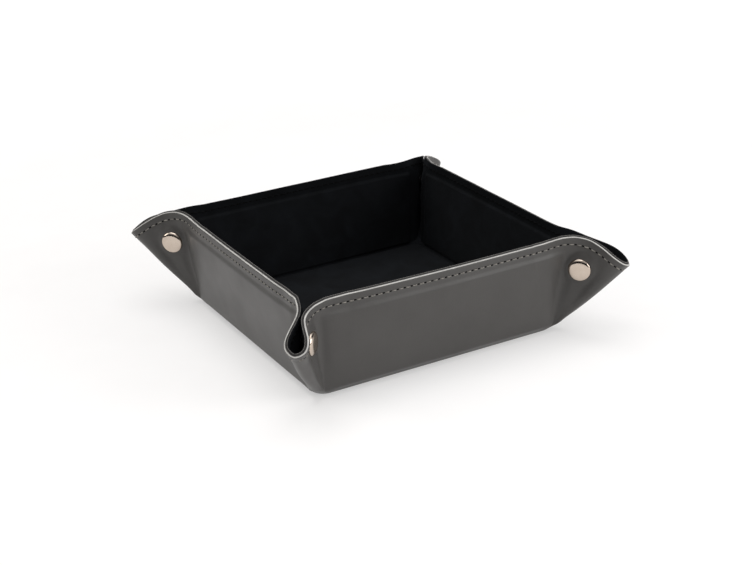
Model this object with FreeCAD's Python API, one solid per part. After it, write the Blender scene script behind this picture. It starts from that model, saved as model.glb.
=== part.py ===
import FreeCAD, Part
import math
import os
from FreeCAD import Vector

# Square snap-corner valet tray: a leather sheet lined with suede, with stiff boards
# in its base and walls. Each corner of the sheet is pinched into an ear by a snap.
# Millimetres, +Z up. The origin is the centre of the underside.

# Overall form
base_side = 157.5
wall_slant = 59.0
wall_lean = 4.5

# Sheet layers
leather_thickness = 1.3
lining_thickness = 1.3
fold_inner_radius = 0.9
fold_clearance = 0.2

# Boards inside the sheet
base_board_thickness = 2.0
base_board_margin = 5.0
wall_board_thickness = 1.5
wall_board_rise = 0.4
wall_board_rim_margin = 9.0
wall_board_fold_margin = 5.0
wall_board_side_margin = 5.0
board_corner_radius = 3.0
board_fit = 0.1
board_slope = 1.5

# Corner ears, as polar angles from the vertical in the plane of the ear
base_corner_radius = 5.0
ear_half_width = 4.0
ear_mean_polar = 25.0
ear_tip_polar = 43.3
ear_flare_polar = 27.1
ear_flare_angle = 17.0
ear_low_cut = 2.5
ear_low_run = 0.2
ear_gap_low = 1.0
ear_gap_rim = 0.15
ear_hinge_clearance = 0.2

# Snap fasteners
snap_polar = 16.6
snap_radius = 41.6
cap_diameter = 12.5
cap_height = 1.8
cap_edge_radius = 0.9
cap_dome = 0.35
cap_barrel_diameter = 3.2
cap_flare_diameter = 4.2
cap_flare_thickness = 0.25
socket_diameter = 10.0
socket_neck_diameter = 7.0
socket_bore_diameter = 4.6
socket_plate_thickness = 0.4
socket_height = 1.9
stud_flange_diameter = 9.0
stud_flange_thickness = 0.5
stud_stem_diameter = 3.2
stud_ball_diameter = 3.8
stud_height = 1.85
stud_neck_height = 0.3
stud_bore_depth = 1.1
post_diameter = 9.5
post_height = 0.8
post_edge_radius = 0.35
post_dome = 0.15
post_barrel_diameter = 2.5
barrel_clearance = 0.1

# Rim stitching
stitch_pitch = 4.2
stitch_length = 3.0
stitch_inset = 4.4
stitch_end_margin = 4.0
thread_width = 0.6
thread_rise = 0.25

sheet_thickness = leather_thickness + lining_thickness
fold_radius = fold_inner_radius + sheet_thickness
fold_angle = 90.0 - wall_lean
half_fold = math.radians(fold_angle / 2)
fold_tangent = fold_radius * math.tan(half_fold)
lean = math.radians(wall_lean)
reach = 4 * (base_side + wall_slant)

WALLS = ["front", "right", "back", "left"]
CAP_WALL = {"front_left": "front", "front_right": "front", "back_right": "right", "back_left": "left"}

# Directions at the front left corner: away from the tray, across the ear, and out of the front wall
corner = Vector(-base_side / 2, -base_side / 2, 0)
diagonal = Vector(-1, -1, 0).normalize()
across = Vector(1, -1, 0).normalize()
up = Vector(0, 0, 1)
wall_out = Vector(0, -math.cos(lean), -math.sin(lean))
wall_up = Vector(0, -math.sin(lean), math.cos(lean))
side_edge = Vector(-math.tan(lean), -math.tan(lean), 1).normalize()
hinge_foot = corner + Vector(ear_half_width * math.sqrt(2), 0, 0)
mean_polar = math.radians(ear_mean_polar)
ear_mean = diagonal * math.sin(mean_polar) + up * math.cos(mean_polar)
ear_outward = diagonal * math.cos(mean_polar) - up * math.sin(mean_polar)
tip_slope = math.tan(math.radians(ear_tip_polar - ear_mean_polar))
ear_high = wall_slant + 2 * sheet_thickness
low_start = ear_low_cut * tip_slope - ear_half_width - ear_low_run
high_start = ear_high * math.tan(math.radians(ear_flare_polar - ear_mean_polar))
snap_angle = math.radians(snap_polar)
snap_centre = corner + (diagonal * math.sin(snap_angle) + up * math.cos(snap_angle)) * snap_radius


def half_space(point, normal):
    # Everything on the side of the plane that the normal points to
    square = Part.makePlane(reach, reach, Vector(-reach / 2, -reach / 2, 0))
    square.Placement = FreeCAD.Placement(point, FreeCAD.Rotation(Vector(0, 0, 1), normal))
    return square.extrude(Vector(normal).normalize() * reach)


def refined(shape):
    return shape.removeSplitter()


def rounded_outline(points, radius, place):
    # A closed wire through the points with every corner rounded, put in space by place(x, y)
    edges = []
    arcs = []
    count = len(points)
    for i in range(count):
        here = Vector(points[i][0], points[i][1], 0)
        before = Vector(points[i - 1][0], points[i - 1][1], 0)
        after = Vector(points[(i + 1) % count][0], points[(i + 1) % count][1], 0)
        back = (before - here).normalize()
        ahead = (after - here).normalize()
        half = back.getAngle(ahead) / 2
        start = here + back * (radius / math.tan(half))
        end = here + ahead * (radius / math.tan(half))
        centre = here + (back + ahead).normalize() * (radius / math.sin(half))
        middle = centre + (here - centre).normalize() * radius
        arcs.append([place(p.x, p.y) for p in (start, middle, end)])
    for i in range(count):
        start, middle, end = arcs[i]
        edges.append(Part.Arc(start, middle, end).toShape())
        edges.append(Part.LineSegment(end, arcs[(i + 1) % count][0]).toShape())
    return Part.Wire(edges)


def inset(points, distance):
    # The polygon moved inwards by a distance on every side; the points run anticlockwise
    lines = []
    count = len(points)
    for i in range(count):
        a = Vector(points[i][0], points[i][1], 0)
        b = Vector(points[(i + 1) % count][0], points[(i + 1) % count][1], 0)
        along = (b - a).normalize()
        inward = Vector(-along.y, along.x, 0)
        lines.append((a + inward * distance, along))
    moved = []
    for i in range(count):
        p, u = lines[i - 1]
        q, v = lines[i]
        cross = u.x * v.y - u.y * v.x
        t = ((q.x - p.x) * v.y - (q.y - p.y) * v.x) / cross
        moved.append((p.x + u.x * t, p.y + u.y * t))
    return moved


def plate(points, radius, low, high, place_at):
    # A flat plate between two levels of place_at(x, y, level)
    outline = rounded_outline(points, radius, lambda x, y: place_at(x, y, low))
    return Part.Face(outline).extrude(place_at(0, 0, high) - place_at(0, 0, low))


def sloped_pad(points, radius, low, high, place_at):
    # The raised field over a board: full size at the low level, its edges sloping in to the high level
    outer = rounded_outline(inset(points, -board_slope), radius + board_slope, lambda x, y: place_at(x, y, low))
    inner = rounded_outline(points, radius, lambda x, y: place_at(x, y, high))
    return Part.makeLoft([outer, inner], True, True)


def on_base(x, y, level):
    return Vector(x, y, level)


def on_wall(x, y, level):
    # x along the front edge, y up the slope, level out of the wall
    return Vector(x, -base_side / 2, 0) + wall_up * y + wall_out * level


def base_layer(outer_depth, inner_depth):
    # One layer of the sheet under the tray, with the lower half of the fold at each edge
    def strip(turn):
        half = base_side / 2 - fold_tangent
        outer = fold_radius - outer_depth
        inner = fold_radius - inner_depth

        def curl(side, radius, share):
            angle = half_fold * share
            across_edge = side * (half + radius * math.sin(angle))
            return Vector(0, across_edge, fold_radius - radius * math.cos(angle))

        edges = [
            Part.LineSegment(curl(-1, outer, 0), curl(1, outer, 0)).toShape(),
            Part.Arc(curl(1, outer, 0), curl(1, outer, 0.5), curl(1, outer, 1)).toShape(),
            Part.LineSegment(curl(1, outer, 1), curl(1, inner, 1)).toShape(),
            Part.Arc(curl(1, inner, 1), curl(1, inner, 0.5), curl(1, inner, 0)).toShape(),
            Part.LineSegment(curl(1, inner, 0), curl(-1, inner, 0)).toShape(),
            Part.Arc(curl(-1, inner, 0), curl(-1, inner, 0.5), curl(-1, inner, 1)).toShape(),
            Part.LineSegment(curl(-1, inner, 1), curl(-1, outer, 1)).toShape(),
            Part.Arc(curl(-1, outer, 1), curl(-1, outer, 0.5), curl(-1, outer, 0)).toShape(),
        ]
        solid = Part.Face(Part.Wire(edges)).extrude(Vector(base_side, 0, 0))
        solid.translate(Vector(-base_side / 2, 0, 0))
        for side in (-1, 1):
            foot = Vector(0, side * base_side / 2, 0)
            normal = Vector(0, -side * math.cos(half_fold), -math.sin(half_fold))
            solid = solid.common(half_space(foot + normal * (fold_clearance / 2), normal))
        solid.rotate(Vector(0, 0, 0), up, turn)
        return solid

    side = base_side / 2
    square = [(-side, -side), (side, -side), (side, side), (-side, side)]
    column = plate(square, base_corner_radius, -fold_radius, 2 * fold_radius, on_base)
    return refined(strip(0).common(strip(90)).common(column))


def base_board_outline():
    side = base_side / 2 - base_board_margin
    return [(-side, -side), (side, -side), (side, side), (-side, side)]


def make_base():
    outline = base_board_outline()
    board_top = leather_thickness + base_board_thickness
    board = plate(outline, board_corner_radius, leather_thickness, board_top, on_base)
    pocket = plate(inset(outline, -board_fit), board_corner_radius, leather_thickness, board_top, on_base)
    lining = base_layer(leather_thickness, sheet_thickness)
    raised = sloped_pad(outline, board_corner_radius, sheet_thickness, board_top + lining_thickness, on_base)
    lining = refined(lining.fuse(raised).cut(pocket))
    return {"base_leather": base_layer(0, leather_thickness), "base_lining": lining, "base_board": board}


def wall_layer(outer_depth, inner_depth):
    # One layer of the front wall: from the fold's mitre plane up to the rim, between the two ear hinges
    centre = Vector(0, -base_side / 2 + fold_tangent, fold_radius)

    def curl(radius, share):
        angle = half_fold * (1 + share)
        return centre + Vector(0, -radius * math.sin(angle), -radius * math.cos(angle))

    outer = fold_radius - outer_depth
    inner = fold_radius - inner_depth
    rim_outer = on_wall(0, wall_slant, -outer_depth)
    rim_inner = on_wall(0, wall_slant, -inner_depth)
    edges = [
        Part.Arc(curl(outer, 0), curl(outer, 0.5), curl(outer, 1)).toShape(),
        Part.LineSegment(curl(outer, 1), rim_outer).toShape(),
        Part.LineSegment(rim_outer, rim_inner).toShape(),
        Part.LineSegment(rim_inner, curl(inner, 1)).toShape(),
        Part.Arc(curl(inner, 1), curl(inner, 0.5), curl(inner, 0)).toShape(),
        Part.LineSegment(curl(inner, 0), curl(outer, 0)).toShape(),
    ]
    solid = Part.Face(Part.Wire(edges)).extrude(Vector(2 * base_side, 0, 0))
    solid.translate(Vector(-base_side, 0, 0))
    mitre = Vector(0, -math.cos(half_fold), math.sin(half_fold))
    solid = solid.common(half_space(Vector(0, -base_side / 2, 0) + mitre * (fold_clearance / 2), mitre))
    inward = side_edge.cross(wall_out).normalize()
    side = half_space(hinge_foot + inward * (ear_hinge_clearance / 2), inward)
    return refined(solid.common(side).common(side.mirror(Vector(0, 0, 0), Vector(1, 0, 0))))


def wall_board_outline():
    low = wall_board_fold_margin
    high = wall_slant - wall_board_rim_margin
    half_low = -hinge_foot.x - wall_board_side_margin + low * math.sin(lean)
    half_high = -hinge_foot.x - wall_board_side_margin + high * math.sin(lean)
    return [(-half_low, low), (half_low, low), (half_high, high), (-half_high, high)]


def stitch_row(level):
    # A row of stitches along the front rim, lying on the sheet at a level
    length = base_side - 2 * stitch_end_margin
    count = int(length / stitch_pitch)
    stitches = []
    for i in range(count):
        middle = (i - (count - 1) / 2) * stitch_pitch
        stitch = Part.makeBox(stitch_length, thread_width, thread_rise)
        stitch.rotate(Vector(0, 0, 0), Vector(1, 0, 0), 90 + wall_lean)
        stitch.translate(on_wall(middle - stitch_length / 2, wall_slant - stitch_inset, level))
        stitches.append(stitch)
    return stitches


def make_front_wall():
    outline = wall_board_outline()
    board_outer = wall_board_rise - leather_thickness
    board_inner = board_outer - wall_board_thickness
    board = plate(outline, board_corner_radius, board_inner, board_outer, on_wall)
    pocket = plate(inset(outline, -board_fit), board_corner_radius, board_inner, board_outer, on_wall)
    leather = wall_layer(0, leather_thickness)
    leather = leather.fuse(sloped_pad(outline, board_corner_radius, 0, wall_board_rise, on_wall))
    lining = wall_layer(leather_thickness, sheet_thickness)
    lining_field = board_inner - lining_thickness
    lining = lining.fuse(sloped_pad(outline, board_corner_radius, -sheet_thickness, lining_field, on_wall))
    stitches = stitch_row(0) + stitch_row(-sheet_thickness - thread_rise)
    return {
        "leather": refined(leather.cut(pocket)),
        "lining": refined(lining.cut(pocket)),
        "board": board,
        "stitching": Part.makeCompound(stitches),
    }


def in_ear(distance, outward, width):
    # A point of the front left ear: along its mean line, outwards along the diagonal, across it
    return corner + ear_mean * distance + ear_outward * outward + across * width


def ear_section(distance, start, flare_angle, gap, outer_depth, inner_depth):
    # The open end of half an ear: it flares away from the diagonal plane, then turns round to it
    flare = math.radians(flare_angle)
    tip = distance * tip_slope
    centre = (tip - ear_half_width * math.cos(flare) + start * math.sin(flare)) / (1 + math.sin(flare))
    radius = tip - centre

    def turn(depth, share):
        r = radius - depth
        first = math.pi / 2 + flare
        last = math.asin(gap / r)
        angle = first + (last - first) * share
        return in_ear(distance, centre + r * math.cos(angle), r * math.sin(angle))

    outer_start = in_ear(distance, start, ear_half_width - outer_depth)
    inner_start = in_ear(distance, start, ear_half_width - inner_depth)
    return Part.Wire([
        Part.LineSegment(outer_start, turn(outer_depth, 0)).toShape(),
        Part.Arc(turn(outer_depth, 0), turn(outer_depth, 0.5), turn(outer_depth, 1)).toShape(),
        Part.LineSegment(turn(outer_depth, 1), turn(inner_depth, 1)).toShape(),
        Part.Arc(turn(inner_depth, 1), turn(inner_depth, 0.5), turn(inner_depth, 0)).toShape(),
        Part.LineSegment(turn(inner_depth, 0), inner_start).toShape(),
        Part.LineSegment(inner_start, outer_start).toShape(),
    ])


def ear_layer(outer_depth, inner_depth, hole_diameter):
    # One layer of the half ear on the front wall: a flat flank from the hinge, then the flared open end
    outward = across.cross(side_edge).normalize()
    hinge = hinge_foot + outward * (ear_hinge_clearance / 2)
    depth = across * -outer_depth
    flank_points = [
        hinge - side_edge * fold_tangent + depth,
        hinge + side_edge * ear_high + depth,
        in_ear(ear_high, high_start, ear_half_width) + depth,
        in_ear(ear_low_cut, low_start, ear_half_width) + depth,
    ]
    flank = Part.Face(Part.makePolygon(flank_points + flank_points[:1]))
    flank = flank.extrude(across * (outer_depth - inner_depth))
    flank = flank.common(half_space(corner + ear_mean * ear_low_cut, ear_mean))
    low = ear_section(ear_low_cut, low_start, 0, ear_gap_low, outer_depth, inner_depth)
    high = ear_section(ear_high, high_start, ear_flare_angle, ear_gap_rim, outer_depth, inner_depth)
    end = Part.makeLoft([low, high], True, True)
    ball = Part.makeSphere(wall_slant, corner, across)
    hole = Part.makeCylinder(hole_diameter / 2, 2 * ear_half_width, snap_centre, across)
    return refined(flank.fuse(end).common(ball).cut(hole))


def turned(edges, side):
    # A solid of revolution about the snap's axis; its height runs outwards from the ear's outer face
    solid = Part.Face(Part.Wire(edges)).revolve(Vector(0, 0, 0), up, 360)
    turn = FreeCAD.Rotation(up, across * side)
    solid.Placement = FreeCAD.Placement(snap_centre + across * (side * ear_half_width), turn)
    return solid


def chain(points):
    # Straight edges through points given as radius and height
    places = [Vector(r, 0, h) for r, h in points]
    return [Part.LineSegment(places[i], places[i + 1]).toShape() for i in range(len(places) - 1)]


def rounded_head(radius, height, edge_radius, dome):
    # The outer profile of a low domed head, from the axis out to its rim at the leather
    shoulder = radius - edge_radius
    side_top = height - dome - edge_radius
    bend = edge_radius * math.sqrt(0.5)
    brow = Vector(shoulder, 0, height - dome)
    crown = Part.Arc(Vector(0, 0, height), Vector(shoulder / 2, 0, height - dome / 4), brow)
    middle = Vector(shoulder + bend, 0, side_top + bend)
    edge = Part.Arc(brow, middle, Vector(radius, 0, side_top))
    return [crown.toShape(), edge.toShape()] + chain([(radius, side_top), (radius, 0)])


def make_cap():
    barrel = cap_barrel_diameter / 2
    flare = cap_flare_diameter / 2
    seat = -sheet_thickness - socket_plate_thickness
    low = seat - cap_flare_thickness
    edges = rounded_head(cap_diameter / 2, cap_height, cap_edge_radius, cap_dome)
    shank = [(cap_diameter / 2, 0), (barrel, 0), (barrel, seat), (flare, seat), (flare, low), (0, low),
             (0, cap_height)]
    return turned(edges + chain(shank), 1)


def make_socket():
    bore = socket_bore_diameter / 2
    barrel = cap_barrel_diameter / 2 + barrel_clearance / 2
    top = -sheet_thickness
    plate_low = top - socket_plate_thickness
    low = top - socket_height
    flange = socket_diameter / 2
    neck = socket_neck_diameter / 2
    outline = [(barrel, top), (flange, top), (flange, plate_low), (neck, plate_low), (neck, low),
               (bore, low), (bore, plate_low), (barrel, plate_low), (barrel, top)]
    return turned(chain(outline), 1)


def make_post():
    barrel = post_barrel_diameter / 2
    low = -sheet_thickness - stud_bore_depth + barrel_clearance
    edges = rounded_head(post_diameter / 2, post_height, post_edge_radius, post_dome)
    shank = [(post_diameter / 2, 0), (barrel, 0), (barrel, low), (0, low), (0, post_height)]
    return turned(edges + chain(shank), -1)


def make_stud():
    top = -sheet_thickness
    flange_low = top - stud_flange_thickness
    tip = top - stud_height
    bore = post_barrel_diameter / 2 + barrel_clearance / 2
    flange = stud_flange_diameter / 2
    stem = stud_stem_diameter / 2
    ball = stud_ball_diameter / 2
    neck = flange_low - stud_neck_height
    nose = ball * math.sqrt(0.5)
    middle = Vector(ball, 0, (neck + tip) / 2)
    bore_floor = top - stud_bore_depth
    edges = chain([(0, bore_floor), (bore, bore_floor), (bore, top), (flange, top), (flange, flange_low),
                   (stem, flange_low), (stem, neck)])
    edges.append(Part.Arc(Vector(stem, 0, neck), middle, Vector(nose, 0, tip)).toShape())
    edges += chain([(nose, tip), (0, tip), (0, bore_floor)])
    return turned(edges, -1)


def corner_name(number):
    # The corner where wall number starts, named front or back first
    ends = [WALLS[number % 4], WALLS[(number - 1) % 4]]
    return "_".join(sorted(ends, key=lambda end: end in ("left", "right")))


def at_wall(shape, number):
    turned_shape = shape.copy()
    turned_shape.rotate(Vector(0, 0, 0), up, 90 * number)
    return turned_shape


def make_walls():
    front = make_front_wall()
    parts = {}
    for number, wall in enumerate(WALLS):
        for piece, shape in front.items():
            parts["wall_" + wall + "_" + piece] = at_wall(shape, number)
    return parts


def make_ears():
    cap_hole = cap_barrel_diameter + 2 * barrel_clearance
    post_hole = post_barrel_diameter + 2 * barrel_clearance
    halves = {}
    for hole in (cap_hole, post_hole):
        leather = ear_layer(0, leather_thickness, hole)
        lining = ear_layer(leather_thickness, sheet_thickness, hole)
        halves[hole] = {"leather": leather, "lining": lining}
    parts = {}
    for number, wall in enumerate(WALLS):
        for end in (0, 1):
            place = corner_name(number + end)
            neighbour = WALLS[(number - 1 + 2 * end) % 4]
            hole = cap_hole if CAP_WALL[place] == wall else post_hole
            for piece, shape in halves[hole].items():
                half = shape.mirror(Vector(0, 0, 0), Vector(1, 0, 0)) if end else shape
                parts["ear_" + wall + "_" + neighbour + "_" + piece] = at_wall(half, number)
    return parts


def make_snaps():
    pieces = {"cap": make_cap(), "socket": make_socket(), "stud": make_stud(), "post": make_post()}
    parts = {}
    for number in range(4):
        place = corner_name(number)
        swapped = CAP_WALL[place] != WALLS[number]
        for piece, shape in pieces.items():
            one = shape.mirror(corner, across) if swapped else shape
            parts["snap_" + piece + "_" + place] = at_wall(one, number)
    return parts


def export_all():
    os.makedirs("parts", exist_ok=True)
    parts = {}
    for group in (make_base(), make_walls(), make_ears(), make_snaps()):
        parts.update(group)
    for name in sorted(parts):
        shape = parts[name]
        shape.exportStep("parts/" + name + ".step")
        print(name, len(shape.Solids), shape.isValid(), round(shape.Volume, 2))


export_all()
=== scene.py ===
# %% [markdown]
# # Snap-corner valet tray
# The tray is one sheet of leather lined with suede. Boards inside it keep the base and the walls
# flat, and a snap pinches each corner into an ear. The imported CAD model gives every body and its
# place, so the soft sheet that is formed here only has to follow it.

# %% Load the frame
import math

import bmesh
import bpy
import numpy as np
from mathutils import Matrix, Vector


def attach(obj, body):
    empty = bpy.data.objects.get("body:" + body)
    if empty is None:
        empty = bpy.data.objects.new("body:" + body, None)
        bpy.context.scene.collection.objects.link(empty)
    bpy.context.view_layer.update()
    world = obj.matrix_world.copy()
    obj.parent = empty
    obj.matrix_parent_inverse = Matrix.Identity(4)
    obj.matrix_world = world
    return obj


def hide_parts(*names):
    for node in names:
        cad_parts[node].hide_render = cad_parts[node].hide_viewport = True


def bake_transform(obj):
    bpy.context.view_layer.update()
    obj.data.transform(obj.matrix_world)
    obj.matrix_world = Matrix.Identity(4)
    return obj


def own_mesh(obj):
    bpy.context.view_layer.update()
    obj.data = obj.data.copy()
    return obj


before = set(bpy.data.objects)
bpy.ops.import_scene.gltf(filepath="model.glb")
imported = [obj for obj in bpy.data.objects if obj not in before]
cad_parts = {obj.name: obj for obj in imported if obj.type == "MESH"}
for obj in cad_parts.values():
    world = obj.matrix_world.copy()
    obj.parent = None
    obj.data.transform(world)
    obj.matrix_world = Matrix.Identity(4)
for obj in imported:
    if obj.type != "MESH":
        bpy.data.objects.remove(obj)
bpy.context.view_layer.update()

# %% [markdown]
# ## Sizes
# All lengths are in millimetres and are turned to metres only when a mesh is made. The sheet is
# described once, for the front wall's left half and its half of the ear. The other seven halves
# are that one mirrored and turned.

# %% Sizes of the sheet
MM = 0.001
WALLS = ["front", "right", "back", "left"]
HALF_BASE = 78.75
# Height of a wall along its slope, how far it leans out, and where its seam and its last row lie
SLANT = 59.0
LEAN = math.radians(4.5)
STITCH_LINE = 54.6
RIM_ROW = 58.15
# Thickness of the leather, and of leather and lining together
LEATHER = 1.3
SHEET = 2.6
FOLD_RADIUS = 6.3
# The ear's tip as an angle from upright, and the snap's place as seen from the base's corner
TIP_ANGLE = math.radians(43.3)
SNAP_RADIUS = 41.6
SNAP_ANGLE = math.radians(16.6)
SEAT_WIDTH = 4.0

UP = np.array([0.0, 0.0, 1.0])
ALONG = np.array([1.0, 0.0, 0.0])
OUT = np.array([-1.0, -1.0, 0.0]) / math.sqrt(2)
ACROSS = np.array([1.0, -1.0, 0.0]) / math.sqrt(2)
CORNER = np.array([-HALF_BASE, -HALF_BASE, 0.0])
WALL_UP = np.array([0.0, -math.sin(LEAN), math.cos(LEAN)])
WALL_OUT = np.array([0.0, -math.cos(LEAN), -math.sin(LEAN)])
FRONT = np.array([0.0, -1.0, 0.0])
SNAP_CENTRE = CORNER + SNAP_RADIUS * (OUT * math.sin(SNAP_ANGLE) + UP * math.cos(SNAP_ANGLE))


def ease(x, low=0.0, high=1.0):
    t = np.clip((x - low) / (high - low), 0, 1)
    return t * t * (3 - 2 * t)


print("Corner of the base:", CORNER[:2])
print("Rim of the wall, seen from the fold:", (WALL_UP * SLANT).round(1))

# %% [markdown]
# ## The sheet as rows of smooth curves
# A row runs along the sheet at one height: from the middle of the wall, round the crease, along
# the flank of the ear and round its open end to the diagonal. Each row is a cubic B-spline, which
# rounds the corners of its control points as a folded sheet does, with no kinks. The bend is
# tight low down, where the ear starts from nothing, and wide at the free rim.

# %% Control points of one row
# Distances from the corner along the wall, how much further the bend reaches at the rim, shares of
# the way out along the ear, and half the ear's width there: at the rim, at the snap and low down
WALL_STOPS = np.array([78.75, 74, 66, 58, 50, 42, 34, 28, 23, 19, 16, 13.2])
WIDER_BEND = np.array([0, 0, 0, 0, 0, 0, 0, 2.1, 4.2, 5.6, 6.65, 7.0])
EAR_STOPS = [0.0, 0.09, 0.18, 0.28, 0.38, 0.48, 0.58, 0.67, 0.75, 0.83, 0.90, 0.96]
RIM_WIDTHS = np.array([9.5, 7.6, 5.7, 4.1, 3.0, 3.0, 4.0, 5.2, 6.4, 7.0, 6.75, 5.3])
SNAP_WIDTHS = np.array([4.8, 3.5, 2.95, 3.3, 4.0, 4.0, 3.8, 3.5, 4.1, 4.8, 4.6, 3.4])
LOW_WIDTHS = np.array([4.4, 3.9, 3.7, 3.7, 3.7, 3.7, 3.75, 3.8, 3.8, 3.6, 3.1, 2.2])
CORNER_ROUND = 10.0


def profile(s):
    # Inset from the sharp edge line and height of the outer face, with s along the outside
    turn = math.pi / 2 - LEAN
    tangent = FOLD_RADIUS * math.tan(turn / 2)
    if s <= -tangent:
        return -s, 0.0
    if s >= tangent:
        return -s * math.sin(LEAN), s * math.cos(LEAN)
    angle = turn * (s + tangent) / (2 * tangent)
    return tangent - FOLD_RADIUS * math.sin(angle), FOLD_RADIUS * (1 - math.cos(angle))


def ear_widths(s):
    # The low shape turns into the snap's, and above the snap into the rim's
    widths = LOW_WIDTHS + (SNAP_WIDTHS - LOW_WIDTHS) * ease(s, 12, 37)
    return widths + (RIM_WIDTHS - widths) * ease(s, 44, 60)


def ridge_cut(s):
    # How far the ridge under the ear falls short of a sharp fold
    return 0.55 + 4.2 * math.exp(-s / 13)


def base_controls(s, count):
    # Along the wall and round the corner of the base, before any ear rises from it
    inset, height = profile(s)
    origin = CORNER + UP * height + np.array([inset, inset, 0.0])
    stops = WALL_STOPS + WIDER_BEND * ease(s, 10, 62)
    stops = stops * (HALF_BASE - inset) / HALF_BASE if inset > 0 else stops - inset
    wall = [origin + ALONG * x for x in stops]
    # The round is smaller towards the middle of the base
    radius = CORNER_ROUND - min(max(inset, 0.0), 2.5)
    angles = np.radians(45) * np.maximum(np.arange(count) - 1, 0) / (count - 2)
    round_x = radius - radius * np.sin(angles)
    round_x[0] = radius + 3.0 - 0.5 * min(max(inset, 0.0), 3.0)
    round_y = radius - radius * np.cos(angles)
    return wall, origin + np.stack([round_x, round_y, 0 * round_x], axis=1)


def ear_controls(s):
    # From the wall's face round the crease, out along the ear and back to the diagonal
    widths = ear_widths(s)
    lean_shift = s * math.sin(LEAN) / math.sqrt(2)
    start = -widths[0] + 2 * lean_shift
    reach = s * math.sin(TIP_ANGLE) - ridge_cut(s) - start
    crease = (widths[0] - lean_shift) * math.sqrt(2)
    points = [CORNER + ALONG * (crease + 1.8 + 4.2 * ease(s, 10, 59)) + WALL_UP * s]
    for stop, width in zip(EAR_STOPS + [(6 - 2 * EAR_STOPS[-1]) / 4], [*widths, 0.0]):
        q = start + reach * stop
        z = math.sqrt(s * s - max(q, 0.0) ** 2)
        points.append(CORNER + OUT * q + UP * z + ACROSS * width)
    return np.array(points)


def row_controls(s):
    wall, rounded = base_controls(s, len(EAR_STOPS) + 2)
    share = float(ease(s, 0.0, 7.0))
    if share > 0:
        rounded = rounded + (ear_controls(s) - rounded) * share
    return np.array([*wall, *rounded])


# %% A row's points
def mirrored(points):
    # Across the diagonal plane of the front left corner
    width = (points - CORNER) @ ACROSS
    return points - 2 * width[..., None] * ACROSS


def row_points(s, params):
    controls = row_controls(s)
    before = controls[1] * [-1, 1, 1]
    after = mirrored(controls[-2:-1])[0]
    knots = np.vstack([before, controls, after])
    index = np.minimum(params.astype(int), len(controls) - 2)
    t = (params - index)[:, None]
    a, b, c, d = knots[index], knots[index + 1], knots[index + 2], knots[index + 3]
    return ((1 - t) ** 3 * a + (3 * t**3 - 6 * t**2 + 4) * b
            + (-3 * t**3 + 3 * t**2 + 3 * t + 1) * c + t**3 * d) / 6


# %% [markdown]
# ## One grid for the whole sheet
# The rows are sampled at the same places, so they make a grid. Close columns and rows lie where
# the sheet bends and where one piece ends and the next one starts: the shading of two pieces then
# meets without a line.

# %% Sample the sheet
FOLD_EDGE = 6.0
WALL_JOIN, EAR_JOIN = 11, 19
DIAGONAL = len(WALL_STOPS) + len(EAR_STOPS) + 1


def sample_columns():
    # Steps from each control point to the next: most of them round the crease
    steps = [2, 1, 1, 1, 1, 1, 1, 1, 2, 3, 4, 6, 7, 7, 6] + [5] * (DIAGONAL - 15)
    values = [start + i / count for start, count in enumerate(steps) for i in range(count)]
    near_joins = [WALL_JOIN - 0.08, WALL_JOIN + 0.06, EAR_JOIN - 0.06, EAR_JOIN + 0.06,
                  DIAGONAL - 0.12, DIAGONAL - 0.04]
    return np.array(sorted(values + near_joins + [DIAGONAL]))


def sample_rows():
    base = [-24, -14, -11, -9.6, -8.6, -7.8, -7.2, -6.8, -6.4, -6.1]
    fold = np.linspace(-FOLD_EDGE, FOLD_EDGE, 31)
    wall = [6.1, 6.4, 6.8, 7.3, 7.9, 8.6, *np.arange(9.6, 47, 1.2), *np.arange(47.4, 53, 0.5)]
    seam = [53.2, 53.6, 54.0, 54.3, STITCH_LINE, 54.9, 55.2, 55.6, 56.0]
    return np.array([*base, *fold, *wall, *seam, 56.6, 57.2, 57.7, RIM_ROW])


COLUMNS, ROWS = sample_columns(), sample_rows()
GRID = np.array([row_points(s, COLUMNS) for s in ROWS])
S_GRID = np.repeat(ROWS[:, None], len(COLUMNS), axis=1)
print("Grid of the half wall and half ear:", GRID.shape)


# %% Normals of the grid
def grid_normals(points):
    # They point out of the tray. Ghost columns carry the sheet on past both ends.
    left = points[:, 1:2] * [-1, 1, 1]
    right = mirrored(points[:, -2:-1])
    wide = np.concatenate([left, points, right], axis=1)
    along = np.gradient(wide, axis=1)[:, 1:-1]
    up = np.gradient(points, ROWS, axis=0)
    normals = np.cross(up, along)
    return normals / np.linalg.norm(normals, axis=2)[..., None]


# %% [markdown]
# ## What lies in the sheet and shows through it
# A board lifts the leather outwards and the lining inwards. Its top edge shows as a clear step,
# and its ends fade out slowly. Above the board the layers are pinched together, so the margin
# leans back and catches more light. The seat of the snap is pressed flat, and the row of stitches
# pulls a fine groove into the leather. The walls also belly out a little between the corners.

# %% Relief of the boards, the seam and the snap
WALL_BOARD_LOW, WALL_BOARD_HIGH, WALL_BOARD_HALF = 5.0, 50.0, 68.1
BASE_BOARD_HALF = 73.75
EDGE_SOFT = 0.7
BOARD_LIFT, LINING_LIFT, BASE_LIFT = 1.0, 1.1, 2.0
BELLY, BELLY_HALF_LENGTH = 0.8, 70.0
SEAT_FLAT_TO, SEAT_ENDS_AT = 6.6, 10.5
PINCH_DEPTH, PINCH_FROM, PINCH_OVER = 1.5, 51.5, 7.5
GROOVE_DEPTH, GROOVE_WIDTH = 0.12, 0.8


def soft_min(values, soft):
    stack = np.stack(values)
    low = stack.min(axis=0)
    return low - soft * np.log(np.exp(-(stack - low) / soft).sum(axis=0))


def inside_board_end(x, s):
    return WALL_BOARD_HALF + s * math.sin(LEAN) - np.abs(x)


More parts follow.
